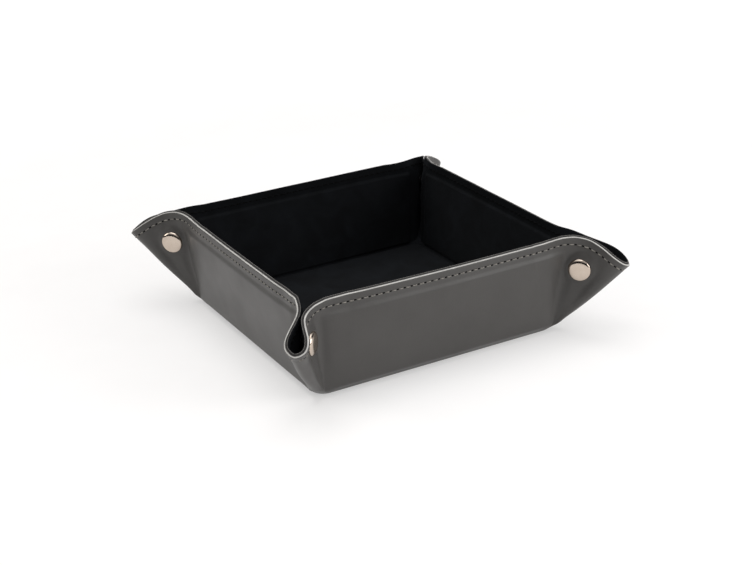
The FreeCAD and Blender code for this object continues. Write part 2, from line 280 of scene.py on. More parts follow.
def wall_depth_inside(x, s):
    return soft_min([inside_board_end(x, s), s - WALL_BOARD_LOW, WALL_BOARD_HIGH - s], EDGE_SOFT)


def base_depth_inside(points):
    return soft_min([BASE_BOARD_HALF - np.abs(points[..., axis]) for axis in (0, 1)], EDGE_SOFT)


def bell(x, width):
    return np.exp(-((x / width) ** 2))


def belly(x, s):
    return BELLY * np.clip(1 - (x / BELLY_HALF_LENGTH) ** 2, 0, 1) ** 2 * ease(s, 4, SLANT)


def seat_hold(points):
    # 1 where the snap presses the leather flat, 0 away from it
    away = points - SNAP_CENTRE
    away = away - (away @ ACROSS)[..., None] * ACROSS
    return 1 - ease(np.linalg.norm(away, axis=-1), SEAT_FLAT_TO, SEAT_ENDS_AT)


HOLD = seat_hold(GRID)
GRID = GRID + ((SEAT_WIDTH - (GRID - CORNER) @ ACROSS) * HOLD)[..., None] * ACROSS
NORMALS = grid_normals(GRID)
IN_WALL = wall_depth_inside(GRID[..., 0], S_GRID)
ON_BASE = ease(-S_GRID, 2.0, 4.0) * ease(base_depth_inside(GRID), -1.9, 0.1)
ON_WALL = ease(IN_WALL, -1.6, 0.1)
FROM_END = inside_board_end(GRID[..., 0], S_GRID)
SWELL = ease(FROM_END, -12, 6) * ease(S_GRID, 2, 6) * (1 - ease(S_GRID, 49.0, 52.2))
PINCH = (PINCH_DEPTH * np.clip((S_GRID - PINCH_FROM) / PINCH_OVER, 0, 1)
         * (1 - ease(COLUMNS, 10.5, 15)))
GROOVE = GROOVE_DEPTH * bell(S_GRID - STITCH_LINE, GROOVE_WIDTH)
BELLY_OUT = belly(GRID[..., 0], S_GRID)[..., None] * WALL_OUT
print("The snap holds", int((HOLD > 0.5).sum()), "points of the grid flat")


# %% Faces of the leather and of the lining
def surface(depth, lift=0.0):
    # The sheet at a depth below its outer face; it never crosses the ear's middle plane
    level = -depth + lift - PINCH
    points = GRID + level[..., None] * NORMALS + BELLY_OUT
    if depth > 0:
        width = (points - CORNER) @ ACROSS
        least = 0.12 * np.clip((GRID - CORNER) @ ACROSS / 0.5, 0, 1)
        points = points + np.maximum(least - width, 0)[..., None] * ACROSS
    return points


OUTWARDS = BOARD_LIFT * SWELL - GROOVE
INWARDS = -LINING_LIFT * ON_WALL - BASE_LIFT * ON_BASE
FACES = {
    "leather": (surface(0, OUTWARDS), surface(LEATHER, OUTWARDS)),
    "lining": (surface(LEATHER, INWARDS), surface(SHEET, INWARDS)),
}

# %% [markdown]
# ## No two walls or ears fold quite alike
# The ear at the front left corner leans towards the front wall, and the left wall leans out a
# little beside it. The lean grows towards the rim and leaves the snap's seat where it is. At the
# two side corners the far half of the ear is a little fuller than the near half. The left wall has
# sunk in above its board, and the front wall beside the left end of its board. All four walls
# swing out more than the CAD's, most of all where they come to the side corners. There the near
# half of the ear closes on the far half above the snap and stands a little higher. The tip of the
# far ear has dropped.

# %% Lean of the front left ear, and two hollows
LEAN_GROWS = (np.clip(S_GRID, 0, SLANT) / SLANT) ** 1.5 * (1 - HOLD)
EAR_SKEW = np.interp(COLUMNS, [12, 15, 18, 21, 24], [0, -0.6, 0.1, 2.2, 3.45]) * LEAN_GROWS
EAR_LIFT = np.interp(COLUMNS, [17, 24], [0, 1.3]) * LEAN_GROWS
WALL_LEAN = (1.6 * np.interp(GRID[..., 0] - CORNER[0], [0, 12, 45, 79], [0, 1, 0.4, 0])
             * (1 - np.clip((COLUMNS - 12) / 8, 0, 1)) * LEAN_GROWS)

FULLER = 1.1 * bell(COLUMNS - 18.5, 4.0) * LEAN_GROWS
HOLLOW_ABOVE = 0.3 * bell(S_GRID - 51.6, 1.7) * ease(FROM_END, -3, 3)
HOLLOW_BESIDE = 0.45 * bell(FROM_END + 3.5, 2.4) * ease(S_GRID, 14, 28) * (1 - ease(S_GRID, 47, 53))

# %% Swing of the walls
# For each wall and end: how far the rim swings out and how far it rises, from the middle of the
# wall to the diagonal. Walls count from the front, and end 0 is a wall's left, seen from outside.
swing_power = 1.5 + 2.5 * ease(COLUMNS, 11, 16)
SWING_GROWS = (np.clip(S_GRID, 0, SLANT) / SLANT) ** swing_power * (1 - HOLD)
NO_RISE = np.zeros(len(COLUMNS))
TO_SIDE_EAR = 0.75 * (1 - ease(COLUMNS, 12, 20))
TO_FAR_EAR = np.interp(COLUMNS, [10, 14, 20, 25], [0.75, -0.5, -0.7, -2.0])
CLOSED = np.interp(COLUMNS, [13, 16, 18, 21.5], [0, 1.7, 1.8, 0])
CREST = np.interp(COLUMNS, [13, 16, 18, 22], [0, 0.9, 1.0, 0])
SWINGS = {
    (0, 0): (np.interp(COLUMNS, [0, 3, 6, 9, 12, 15], [2.2, 1.7, 1.4, 1.0, 0.4, 0]), NO_RISE),
    (0, 1): (np.interp(COLUMNS, [0, 6, 10, 12, 14.5], [2.2, 2.9, 3.2, 2.6, 0]), CREST),
    (3, 0): (np.interp(COLUMNS, [0, 6, 9, 11.5, 14.5], [2.0, 2.4, 2.7, 2.3, 0]), CREST),
    (3, 1): (np.interp(COLUMNS, [0, 6, 11, 14], [2.0, 1.5, 0.7, 0]), NO_RISE),
    (1, 0): (np.interp(COLUMNS, [0, 6, 11, 15, 19, 23], [2.2, 3.0, 3.2, 3.1, 1.3, 0]), TO_SIDE_EAR),
    (1, 1): (np.interp(COLUMNS, [0, 12, 16, 20], [2.2, 2.5, 1.0, 0]), TO_FAR_EAR),
    (2, 0): (np.interp(COLUMNS, [0, 11, 15], [1.1, 0.6, 0]), TO_FAR_EAR),
    (2, 1): (np.interp(COLUMNS, [0, 7, 10, 12, 15, 17], [1.1, 2.5, 3.0, 3.0, 1.0, 0]), TO_SIDE_EAR),
}


def leaned(points, wall, end):
    out, rise = SWINGS[wall, end]
    points = points + SWING_GROWS[..., None] * (out[:, None] * FRONT + rise[:, None] * UP)
    if (wall, end) in ((0, 1), (3, 0)):
        points = points - (SWING_GROWS * CLOSED)[..., None] * ACROSS
    if wall == 3:
        points = points - HOLLOW_ABOVE[..., None] * NORMALS
    if (wall, end) == (0, 0):
        points = points - HOLLOW_BESIDE[..., None] * NORMALS
    if (wall, end) in ((1, 0), (2, 1)):
        points = points + FULLER[..., None] * ACROSS
    if (wall, end) not in ((0, 0), (3, 1)):
        return points
    side = 1 if wall == 0 else -1
    shift = side * EAR_SKEW[..., None] * ACROSS + EAR_LIFT[..., None] * (UP - OUT) / math.sqrt(2)
    if side < 0:
        shift = shift + WALL_LEAN[..., None] * FRONT
    return points + shift


def place(points, wall, flipped):
    # From the front wall's left half to any wall and end
    moved = points * [-1, 1, 1] if flipped else points.copy()
    x, y = moved[..., 0].copy(), moved[..., 1].copy()
    cos, sin = [(1, 0), (0, 1), (-1, 0), (0, -1)][wall]
    moved[..., 0], moved[..., 1] = x * cos - y * sin, x * sin + y * cos
    return moved


def whole_wall(face, wall):
    # From one end's diagonal to the other's, in place
    left, right = (leaned(face, wall, end) for end in (0, 1))
    return place(np.concatenate([left[:, ::-1], right[:, 1:] * [-1, 1, 1]], axis=1), wall, False)


print("Largest lean, mm:", EAR_SKEW.max().round(2))

# %% [markdown]
# ## Helpers for the materials
# A material is a small tree of nodes. One helper adds any node with its settings and links, one
# turns a hex colour to the linear values that Blender works in, and one turns the real size of a
# pattern in millimetres into the scale of its texture.

# %% Node helpers
def linear(code):
    parts = [int(code[i:i + 2], 16) / 255 for i in (1, 3, 5)]
    return [*(p / 12.92 if p <= 0.04045 else ((p + 0.055) / 1.055) ** 2.4 for p in parts), 1.0]


def add_node(tree, kind, inputs, stops=(), **settings):
    # An input is a plain value, a socket, or a node whose first output is linked
    made = tree.nodes.new(kind)
    for name, value in settings.items():
        setattr(made, name, value)
    for name, value in inputs.items():
        if isinstance(value, bpy.types.Node):
            value = value.outputs[0]
        if isinstance(value, bpy.types.NodeSocket):
            tree.links.new(value, made.inputs[name])
        else:
            made.inputs[name].default_value = value
    for i, (position, code) in enumerate(stops):
        if i > 1:
            made.color_ramp.elements.new(position)
        made.color_ramp.elements[i].position = position
        made.color_ramp.elements[i].color = linear(code)
    return made


def scale_for(size_mm):
    return 1.0 / (size_mm * MM)


def start_material(name, **shader_values):
    # Values that are the same all over the surface are set on the shader itself
    material = bpy.data.materials.new(name)
    material.use_nodes = True
    tree = material.node_tree
    shader = tree.nodes["Principled BSDF"]
    for key, value in shader_values.items():
        shader.inputs[key.replace("_", " ")].default_value = value
    at = add_node(tree, "ShaderNodeTexCoord", {}).outputs["Object"]
    return material, tree, shader, at


# %% [markdown]
# ## Leather
# The outside is cowhide with a pigment finish and a fine grain pressed into it by a hot plate.
# The finish gives an even mid grey with a soft, broad sheen, and hides most of the hide's own
# marks. The grain's cells are 0.9 mm wide, pebbled by a noise half that size. Slow patches of
# shade come from the way the hide took the dye, and handling has polished some of them.

# %% Pigmented plated leather
plated_leather, tree, shader, at = start_material("pigmented plated leather", IOR=1.5,
                                                  Sheen_Weight=0.04)
patches = add_node(tree, "ShaderNodeTexNoise",
                   {"Vector": at, "Scale": scale_for(22), "Detail": 4.0})
cells = add_node(tree, "ShaderNodeTexVoronoi",
                 {"Vector": at, "Scale": scale_for(0.9)}, feature="SMOOTH_F1")
pebble = add_node(tree, "ShaderNodeTexNoise",
                  {"Vector": at, "Scale": scale_for(0.45), "Detail": 2.0})
mottle = add_node(tree, "ShaderNodeMath", {0: cells, 1: 0.22, 2: patches}, operation="MULTIPLY_ADD")
shade = add_node(tree, "ShaderNodeValToRGB",
                 {"Fac": mottle}, [(0.42, "#403e3c"), (0.82, "#3c3a38")])
tree.links.new(shade.outputs[0], shader.inputs["Base Color"])
gloss = add_node(tree, "ShaderNodeMapRange", {"Value": patches, "From Min": 0.3, "From Max": 0.7,
                                             "To Min": 0.41, "To Max": 0.49})
tree.links.new(gloss.outputs[0], shader.inputs["Roughness"])
grain = add_node(tree, "ShaderNodeMath", {0: pebble, 1: 0.5, 2: cells}, operation="MULTIPLY_ADD")
pressed = add_node(tree, "ShaderNodeBump",
                   {"Height": grain, "Strength": 0.35, "Distance": 0.07 * MM})
tree.links.new(pressed.outputs[0], shader.inputs["Normal"])
print("Leather nodes:", len(tree.nodes))

# %% [markdown]
# ## The cut edge
# The rim is cut through, not turned in, and shows its layers: undyed light grey leather fibre, a
# dark line of contact cement, the lining's charcoal core, its mid grey woven backing and its black
# nap. Raw fibre is matt and a little streaky, dried cement is lumpy with a slight gloss, the core
# is dull and flecked, and the backing shows its yarns. The streaks are drawn 0.5 mm wide and the
# yarns 2 mm, coarser than the real ones, so that they show.

# %% Undyed cut fibre
cut_fibre, tree, shader, at = start_material("undyed cut leather fibre", IOR=1.5, Roughness=0.85)
streaks = add_node(tree, "ShaderNodeTexNoise",
                   {"Vector": at, "Scale": scale_for(0.5), "Detail": 3.0})
soiled = add_node(tree, "ShaderNodeTexNoise", {"Vector": at, "Scale": scale_for(7), "Detail": 3.0})
both = add_node(tree, "ShaderNodeMath", {0: streaks, 1: 0.5, 2: soiled}, operation="MULTIPLY_ADD")
shade = add_node(tree, "ShaderNodeValToRGB", {"Fac": both}, [(0.5, "#a19f9c"), (0.95, "#c4c2be")])
tree.links.new(shade.outputs[0], shader.inputs["Base Color"])
frayed = add_node(tree, "ShaderNodeBump",
                  {"Height": streaks, "Strength": 0.5, "Distance": 0.08 * MM})
tree.links.new(frayed.outputs[0], shader.inputs["Normal"])

# %% Contact cement
cement, tree, shader, at = start_material("dried contact cement", IOR=1.52)
lumps = add_node(tree, "ShaderNodeTexNoise", {"Vector": at, "Scale": scale_for(0.8), "Detail": 2.0})
shade = add_node(tree, "ShaderNodeValToRGB", {"Fac": lumps}, [(0.35, "#191817"), (0.65, "#2b2927")])
tree.links.new(shade.outputs[0], shader.inputs["Base Color"])
gloss = add_node(tree, "ShaderNodeMapRange", {"Value": lumps, "To Min": 0.35, "To Max": 0.6})
tree.links.new(gloss.outputs[0], shader.inputs["Roughness"])
beads = add_node(tree, "ShaderNodeBump", {"Height": lumps, "Strength": 0.4, "Distance": 0.06 * MM})
tree.links.new(beads.outputs[0], shader.inputs["Normal"])

# %% Bonded fibre core
fibre_core, tree, shader, at = start_material("bonded fibre core", IOR=1.5, Roughness=0.9)
flecks = add_node(tree, "ShaderNodeTexNoise",
                  {"Vector": at, "Scale": scale_for(0.6), "Detail": 3.0})
shade = add_node(tree, "ShaderNodeValToRGB",
                 {"Fac": flecks}, [(0.35, "#242322"), (0.65, "#363433")])
tree.links.new(shade.outputs[0], shader.inputs["Base Color"])
rough_cut = add_node(tree, "ShaderNodeBump",
                     {"Height": flecks, "Strength": 0.4, "Distance": 0.06 * MM})
tree.links.new(rough_cut.outputs[0], shader.inputs["Normal"])

# %% Woven backing
backing, tree, shader, at = start_material("woven cotton backing", IOR=1.5, Roughness=0.85)
yarn = add_node(tree, "ShaderNodeTexWave",
                {"Vector": at, "Scale": scale_for(2.0), "Distortion": 3.0, "Detail": 2.0},
                bands_direction="DIAGONAL")
shade = add_node(tree, "ShaderNodeValToRGB", {"Fac": yarn}, [(0.2, "#5c5a57"), (0.8, "#7e7b77")])
tree.links.new(shade.outputs[0], shader.inputs["Base Color"])
weave = add_node(tree, "ShaderNodeBump", {"Height": yarn, "Strength": 0.4, "Distance": 0.06 * MM})
tree.links.new(weave.outputs[0], shader.inputs["Normal"])

# %% [markdown]
# ## Suede lining
# The inside is black microfibre suede: a knitted cloth whose surface is sanded to a short nap.
# The nap swallows light when seen straight on and catches a little of it at a low angle, which is
# what sheen does. Fingers leave patches where the nap lies the other way. They are 14 mm wide
# here, and the fibres are drawn 0.5 mm wide, far coarser than they are, so that they show.

# %% Black microfibre suede
suede, tree, shader, at = start_material("black microfibre suede", IOR=1.45, Roughness=0.95,
                                         Specular_IOR_Level=0.15, Sheen_Weight=0.012,
                                         Sheen_Roughness=0.45)
shader.inputs["Sheen Tint"].default_value = linear("#9aa4b4")
brushed = add_node(tree, "ShaderNodeTexNoise", {"Vector": at, "Scale": scale_for(14), "Detail": 3.0,
                                               "Distortion": 0.8})
fibres = add_node(tree, "ShaderNodeTexNoise",
                  {"Vector": at, "Scale": scale_for(0.5), "Detail": 3.0})
nap = add_node(tree, "ShaderNodeMath", {0: fibres, 1: 0.45, 2: brushed}, operation="MULTIPLY_ADD")
shade = add_node(tree, "ShaderNodeValToRGB", {"Fac": nap}, [(0.5, "#0c0d0f"), (0.95, "#141619")])
tree.links.new(shade.outputs[0], shader.inputs["Base Color"])
raised = add_node(tree, "ShaderNodeBump", {"Height": nap, "Strength": 0.6, "Distance": 0.15 * MM})
tree.links.new(raised.outputs[0], shader.inputs["Normal"])
print("Suede nodes:", len(tree.nodes))

# %% [markdown]
# ## Board, thread and needle holes
# The boards are grey pressed fibre board, flecked and matt. The thread is bonded polyester, laid
# down in stitches 2.9 mm long, with a twist that shows as fine slanting lines. Where the needle
# went through, the leather is dented, and the shadow in each dent is painted as a near-black spot.

# %% Pressed fibre board
fibre_board, tree, shader, at = start_material("pressed fibre board", IOR=1.5, Roughness=0.9)
pulp = add_node(tree, "ShaderNodeTexNoise", {"Vector": at, "Scale": scale_for(1.5), "Detail": 5.0,
                                            "Distortion": 1.5})
shade = add_node(tree, "ShaderNodeValToRGB", {"Fac": pulp}, [(0.3, "#7d776c"), (0.7, "#979084")])
tree.links.new(shade.outputs[0], shader.inputs["Base Color"])
matted = add_node(tree, "ShaderNodeBump", {"Height": pulp, "Strength": 0.4, "Distance": 0.1 * MM})
tree.links.new(matted.outputs[0], shader.inputs["Normal"])


# %% Bonded thread, above and below
def bonded_thread(name, dark, light, shine):
    material, tree, shader, at = start_material(name, IOR=1.53, Roughness=0.75,
                                                Specular_IOR_Level=shine)
    twist = add_node(tree, "ShaderNodeTexWave",
                     {"Vector": at, "Scale": scale_for(3.0), "Distortion": 1.0},
                     bands_direction="DIAGONAL")
    shade = add_node(tree, "ShaderNodeValToRGB", {"Fac": twist}, [(0.2, dark), (0.8, light)])
    tree.links.new(shade.outputs[0], shader.inputs["Base Color"])
    strands = add_node(tree, "ShaderNodeBump",
                       {"Height": twist, "Strength": 0.5, "Distance": 0.08 * MM})
    tree.links.new(strands.outputs[0], shader.inputs["Normal"])
    return material


grey_thread = bonded_thread("grey bonded polyester thread", "#6d6a65", "#8b8780", 0.3)
black_thread = bonded_thread("black bonded polyester thread", "#050506", "#0b0b0d", 0.08)

# %% Needle hole dent with a painted shadow
# The near-black colour is a painted shadow in the needle's dent, not the leather's own colour.
needle_hole_painted_shadow, tree, shader, at = start_material("painted shadow in a needle dent", IOR=1.5,
                                               Roughness=0.95, Specular_IOR_Level=0.1)
hole_shadow_noise = add_node(tree, "ShaderNodeTexNoise", {"Vector": at, "Scale": scale_for(0.4), "Detail": 2.0})
shade = add_node(tree, "ShaderNodeValToRGB", {"Fac": hole_shadow_noise}, [(0.3, "#040403"), (0.7, "#0b0b0a")])
tree.links.new(shade.outputs[0], shader.inputs["Base Color"])

# %% [markdown]
# ## Nickel
# The snap is pressed from brass and plated. The cap and the post's head are bright nickel and
# polished, so they mirror the pale table in a warm grey and have a dark ring where the rolled edge
# mirrors the dark part of the sky. The socket and stud are black nickel, only tumbled, because no
# bright metal shows inside the ears. Fine wipe marks change the gloss. They are drawn 0.6 mm wide
# and stretched, coarser than the real ones.


# %% Bright and black nickel
WIPE_STRETCH = (1.0, 1.0, 0.15)


def nickel(name, dark, light, smooth, rough):
    material, tree, shader, at = start_material(name, Metallic=1.0)
    stretched = add_node(tree, "ShaderNodeMapping", {"Vector": at, "Scale": WIPE_STRETCH})
    wiped = add_node(tree, "ShaderNodeTexNoise",
                     {"Vector": stretched, "Scale": scale_for(0.6), "Detail": 3.0})
    cloudy = add_node(tree, "ShaderNodeTexNoise",
                      {"Vector": at, "Scale": scale_for(5), "Detail": 2.0})
    shade = add_node(tree, "ShaderNodeValToRGB", {"Fac": cloudy}, [(0.3, dark), (0.7, light)])
    tree.links.new(shade.outputs[0], shader.inputs["Base Color"])
    gloss = add_node(tree, "ShaderNodeMapRange", {"Value": wiped, "From Min": 0.3, "From Max": 0.7,
                                                 "To Min": smooth, "To Max": rough})
    tree.links.new(gloss.outputs[0], shader.inputs["Roughness"])
    marks = add_node(tree, "ShaderNodeBump",
                     {"Height": wiped, "Strength": 0.05, "Distance": 0.02 * MM})
    tree.links.new(marks.outputs[0], shader.inputs["Normal"])
    return material


bright_nickel = nickel("polished bright nickel plate", "#bfb1a4", "#c6b9ac", 0.12, 0.18)
black_nickel = nickel("tumbled black nickel plate", "#232323", "#2c2b2b", 0.4, 0.5)
for name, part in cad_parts.items():
    if name.startswith("snap_") or name == "base_board":
        finish = fibre_board if name == "base_board" else (
            bright_nickel if name.startswith("snap_post") else black_nickel)
        for slot in part.material_slots:
            slot.material = finish
print("Finished CAD parts:", sum(n.startswith("snap_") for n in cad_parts),
      "snap parts and a board")

# %% [markdown]
# ## From a grid to a closed shell
# A piece of sheet has an outer face, an inner face and edges. The rim is a cut edge that shows the
# layers, so it is made of narrow bands, rounded off a little at both sides. Each band is a share
# of the thickness, with its drop from the edge's round top, where a minus sign is a rise, and the
# number of its material. The lining stands a little above the leather, so the pale fibre is seen
# from outside the tray and not from inside.

# %% Layers and their materials
LEATHER_FINISHES = [plated_leather, cut_fibre, cement]
LINING_FINISHES = [suede, cement, fibre_core, backing]
FINISHES = {"leather": LEATHER_FINISHES, "lining": LINING_FINISHES, "board": [fibre_board]}
RIM_BANDS = {
    "leather": [(0.05, 0.1, 0), (0.17, -0.03, 0), (0.42, -0.14, 1), (0.62, -0.22, 1),
                (0.76, -0.28, 1), (0.92, -0.34, 2)],
    "lining": [(0.04, -0.36, 1), (0.12, -0.42, 2), (0.35, -0.5, 2), (0.66, -0.6, 2),
               (0.7, -0.64, 3), (0.8, -0.68, 3), (0.88, -0.66, 0), (0.96, -0.54, 0)],
}
EDGE_ROUND = 0.25
SHARP_ABOVE = math.radians(50)


# %% A closed mesh from points and faces
def closed_piece(name, parts, faces, marks, finishes):
    mesh = bpy.data.meshes.new(name)
    mesh.from_pydata((np.vstack(parts) * MM).tolist(), [], faces)
    mesh.polygons.foreach_set("material_index", marks)
    work = bmesh.new()
    work.from_mesh(mesh)
    bmesh.ops.recalc_face_normals(work, faces=work.faces)
    work.to_mesh(mesh)
    work.free()
    mesh.shade_smooth()
    mesh.set_sharp_from_angle(angle=SHARP_ABOVE)
    for material in finishes:
        mesh.materials.append(material)
    piece = bpy.data.objects.new(name, mesh)
    bpy.context.scene.collection.objects.link(piece)
    return piece


def grid_faces(rows, cols, size, around=False):
    # Quads of the outer face, and the same ones turned over for the inner face
    faces = []
    for i in range(rows - 1):
        for j in range(cols if around else cols - 1):
            k = (j + 1) % cols
            quad = (i * cols + j, i * cols + k, (i + 1) * cols + k, (i + 1) * cols + j)
            faces += [quad, tuple(v + size for v in reversed(quad))]
    return faces


def strip_faces(line_a, line_b):
    return [(a, c, d, b) for a, b, c, d in zip(line_a, line_a[1:], line_b, line_b[1:])]


# %% A shell with a cut rim
def shell(name, layer, outer, inner, rim=False):
    rows, cols = outer.shape[:2]
    size = rows * cols
    parts = [outer.reshape(-1, 3), inner.reshape(-1, 3)]
    faces = grid_faces(rows, cols, size)
    for side in (range(0, cols), range(0, size, cols), range(cols - 1, size, cols)):
        faces += strip_faces(list(side), [v + size for v in side])
    marks = [0] * len(faces)
    last, far = list(range(size - cols, size)), list(range(2 * size - cols, 2 * size))
    if rim:
        rise = outer[-1] - outer[-2]
        rise /= np.linalg.norm(rise, axis=1)[:, None]
        for n, (share, drop, mark) in enumerate(RIM_BANDS[layer]):
            parts.append(outer[-1] + (inner[-1] - outer[-1]) * share + rise * (EDGE_ROUND - drop))
            line = list(range(2 * size + n * cols, 2 * size + (n + 1) * cols))
            faces += strip_faces(last, line)
            marks += [mark] * (cols - 1)
            last = line
    faces += strip_faces(last, far)
    marks += [RIM_BANDS[layer][-1][2] if rim else 0] * (cols - 1)
    if rim:
        bands = len(RIM_BANDS[layer])
        for j, start in ((0, size - cols), (cols - 1, size - 1)):
            loop = [start, *(2 * size + n * cols + j for n in range(bands)), start + size]
            faces.append(tuple(loop))
            marks.append(0)
    return closed_piece(name, parts, faces, marks, FINISHES[layer])


# %% [markdown]
# ## How a piece of the sheet is held
# A wall's middle is stiff and rides its wall. The strip at the bottom fold, between base and wall,
# and the ear's flank, between wall and ear, are baked in place where they are made. The curled
# end of an ear rides the ear.

# %% Where the pieces bend
LOW, HIGH = (int(np.argmin(np.abs(ROWS - s))) for s in (-FOLD_EDGE, FOLD_EDGE))
J1, J2 = (int(np.argmin(np.abs(COLUMNS - c))) for c in (WALL_JOIN, EAR_JOIN))
SEAM = int(np.argmin(np.abs(ROWS - STITCH_LINE)))
FOLD_TURN = (math.pi / 2 - LEAN) / 2
ACROSS_FOLD = np.array([0, -math.cos(FOLD_TURN), math.sin(FOLD_TURN)])
FOLD_FOOT = np.array([0, -HALF_BASE, 0.0])
FOLD_SPAN = {"leather": 2.4, "lining": 0.6}
CREASE_FOOT = CORNER + ALONG * SEAT_WIDTH * math.sqrt(2)
CREASE_TURN = math.radians(22.5)
ACROSS_CREASE = (OUT * math.cos(CREASE_TURN)
                 - (ALONG * math.sqrt(2) + OUT) * math.sin(CREASE_TURN))
CREASE_SPAN = 3.0


def at_place(point, wall, end):
    return [float(v) * MM for v in place(np.array(point, float), wall, end)]


def ear_name(wall, end):
    return f"{WALLS[wall]}_{WALLS[(wall + (1 if end else -1)) % 4]}"


def hold_fold(piece, wall, layer):
    shift = ACROSS_FOLD * FOLD_SPAN[layer]
    at_place(FOLD_FOOT - shift, wall, False)
    at_place(FOLD_FOOT + shift, wall, False)
    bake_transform(piece)


def hold_flank(piece, wall, end):
    shift = ACROSS_CREASE * CREASE_SPAN
    at_place(CREASE_FOOT - shift, wall, end)
    at_place(CREASE_FOOT + shift, wall, end)
    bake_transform(piece)


def hold_loop(piece, wall, end):
    body = f"ear_{ear_name(wall, end)}"
    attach(piece, body)
    [float(v) for v in place(ACROSS, wall, end)]
    at_place(CORNER + ACROSS * (SEAT_WIDTH - LEATHER), wall, end)
    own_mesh(piece)


# %% Walls and ears
for wall, side in enumerate(WALLS):
    for layer, faces_of_layer in FACES.items():
        outer, inner = (whole_wall(face, wall) for face in faces_of_layer)
        fold = shell(f"fold_{side}_{layer}", layer, outer[LOW:HIGH + 1], inner[LOW:HIGH + 1])
        hold_fold(fold, wall, layer)
        middle = outer.shape[1] // 2
        stiff = np.s_[HIGH:, middle - J1:middle + J1 + 1]
        panel = shell(f"panel_{side}_{layer}", layer, outer[stiff], inner[stiff], rim=True)
        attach(panel, f"wall_{side}")
        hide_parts(f"wall_{side}_{layer}")
        for end in (0, 1):
            ear = ear_name(wall, end)
            outer, inner = (place(leaned(face, wall, end), wall, end) for face in faces_of_layer)
            cut = np.s_[HIGH:, J1:J2 + 1]
            flank = shell(f"flank_{ear}_{layer}", layer, outer[cut], inner[cut], rim=True)
            hold_flank(flank, wall, end)
            cut = np.s_[HIGH:, J2:]
            loop = shell(f"loop_{ear}_{layer}", layer, outer[cut], inner[cut], rim=True)
            hold_loop(loop, wall, end)
            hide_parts(f"ear_{ear}_{layer}")

# %% [markdown]
# ## The base
# The bottom of the sheet is the inner part of the four grids, joined into a ring and closed by one
# flat face in the middle. The lining rises over the base board, and the board's outline shows as
# a soft step near the walls.

# %% Base
for layer, faces_of_layer in FACES.items():
    rings = []
    for face in faces_of_layer:
        sides = [whole_wall(face, wall)[:LOW + 1, ::-1][:, :-1] for wall in (0, 3, 2, 1)]
        rings.append(np.concatenate(sides, axis=1))
    rows, cols = rings[0].shape[:2]
    size = rows * cols
    faces = grid_faces(rows, cols, size, around=True)
    top = size - cols
    for j in range(cols):
        k = (j + 1) % cols
        faces.append((top + j, top + k, top + k + size, top + j + size))
    faces += [tuple(range(cols)), tuple(range(size, size + cols))[::-1]]
    bottom = closed_piece(f"bottom_{layer}", [ring.reshape(-1, 3) for ring in rings], faces,
                          [0] * len(faces), FINISHES[layer])
    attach(bottom, "base")
    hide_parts(f"base_{layer}")

# %% [markdown]
# ## Wall boards
# Each wall's board lies between leather and lining and never shows, but it bellies and swings out
# with them, so it is bent here as the sheet is.

# %% Wall boards
# Depths of the board's two faces in the sheet, its play at the edges, and columns past the join
# that are enough to reach its ends
BOARD_OUTER, BOARD_INNER, PLAY = 0.4, 2.38, 0.2
TO_BOARD_END = J1 + 8
levels = np.linspace(WALL_BOARD_LOW + PLAY, WALL_BOARD_HIGH - PLAY, 12)
shares = np.linspace(-1, 1, 25)
half_lengths = WALL_BOARD_HALF - PLAY + levels * math.sin(LEAN)
board_x = half_lengths[:, None] * shares
board_mid = (FOLD_FOOT + board_x[..., None] * ALONG + levels[:, None, None] * WALL_UP
             + belly(board_x, levels[:, None])[..., None] * WALL_OUT)


def carried_by_sheet(wall):
    # How far the sheet has moved at each point of the board
    moved = np.zeros(board_mid.shape)
    for end in (0, 1):
        shifts = leaned(GRID, wall, end) - GRID
        half = (shares > 0) == bool(end)
        for i, s in enumerate(levels):
            row = int(np.argmin(np.abs(ROWS - s)))
            column = np.interp(np.abs(board_x[i, half]), -GRID[row, :TO_BOARD_END, 0],
                               np.arange(TO_BOARD_END))
            for axis, shift in enumerate(shifts[row].T):
                moved[i, half, axis] = np.interp(column, np.arange(len(COLUMNS)), shift)
    return moved


for wall, side in enumerate(WALLS):
    carried = board_mid + carried_by_sheet(wall)
    faces = [place(carried - depth * WALL_OUT, wall, False) for depth in (BOARD_OUTER, BOARD_INNER)]
    board = shell(f"board_{side}", "board", *faces)
    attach(board, f"wall_{side}")
    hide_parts(f"wall_{side}_board")
print("Board, mm:", (2 * half_lengths.max()).round(1), "by", (levels[-1] - levels[0]).round(1))

# %% [markdown]
# ## Stitching
# One row of lockstitch holds the layers together 3.8 mm below the rim. It runs along the wall and
# round each ear. A stitch is a short soft cylinder whose ends dive into the leather, and a dent
# with a painted shadow marks each needle hole. On the inside the same holes hold the black bobbin
# thread.

# %% Shape of a stitch and of a hole
PITCH, STITCH = 4.2, 2.9
THREAD_HALF_WIDTH, THREAD_HALF_HEIGHT = 0.36, 0.3
HOLE_HALF_LONG, HOLE_HALF_WIDE = 0.9, 0.55
# Along a stitch: share of its length, thickness, and height of its middle above the leather
STATIONS = [(0.0, 0.45, -0.3), (0.12, 0.85, -0.02), (0.3, 1.0, 0.1), (0.5, 1.0, 0.13),
            (0.7, 1.0, 0.1), (0.88, 0.85, -0.02), (1.0, 0.45, -0.3)]
# Through a hole's dent, from below: share of its size, and height above the leather
DENT = [(0.8, -0.3), (1.0, -0.02), (0.7, 0.07)]
SEAM_END = 0.8
seam_steps = np.linalg.norm(np.diff(FACES["leather"][0][SEAM], axis=0), axis=1)
SEAM_LENGTHS = np.concatenate([[0], np.cumsum(seam_steps)])
CUTS = [0, *(math.ceil(SEAM_LENGTHS[j] / PITCH - 0.5) for j in (J1, J2)),
        int((SEAM_LENGTHS[-1] - SEAM_END) / PITCH)]
print("Stitches on half a wall, its ear's flank and its loop:", np.diff(CUTS))


def circle(count):
    angles = 2 * math.pi * np.arange(count) / count
    return np.cos(angles)[:, None], np.sin(angles)[:, None]


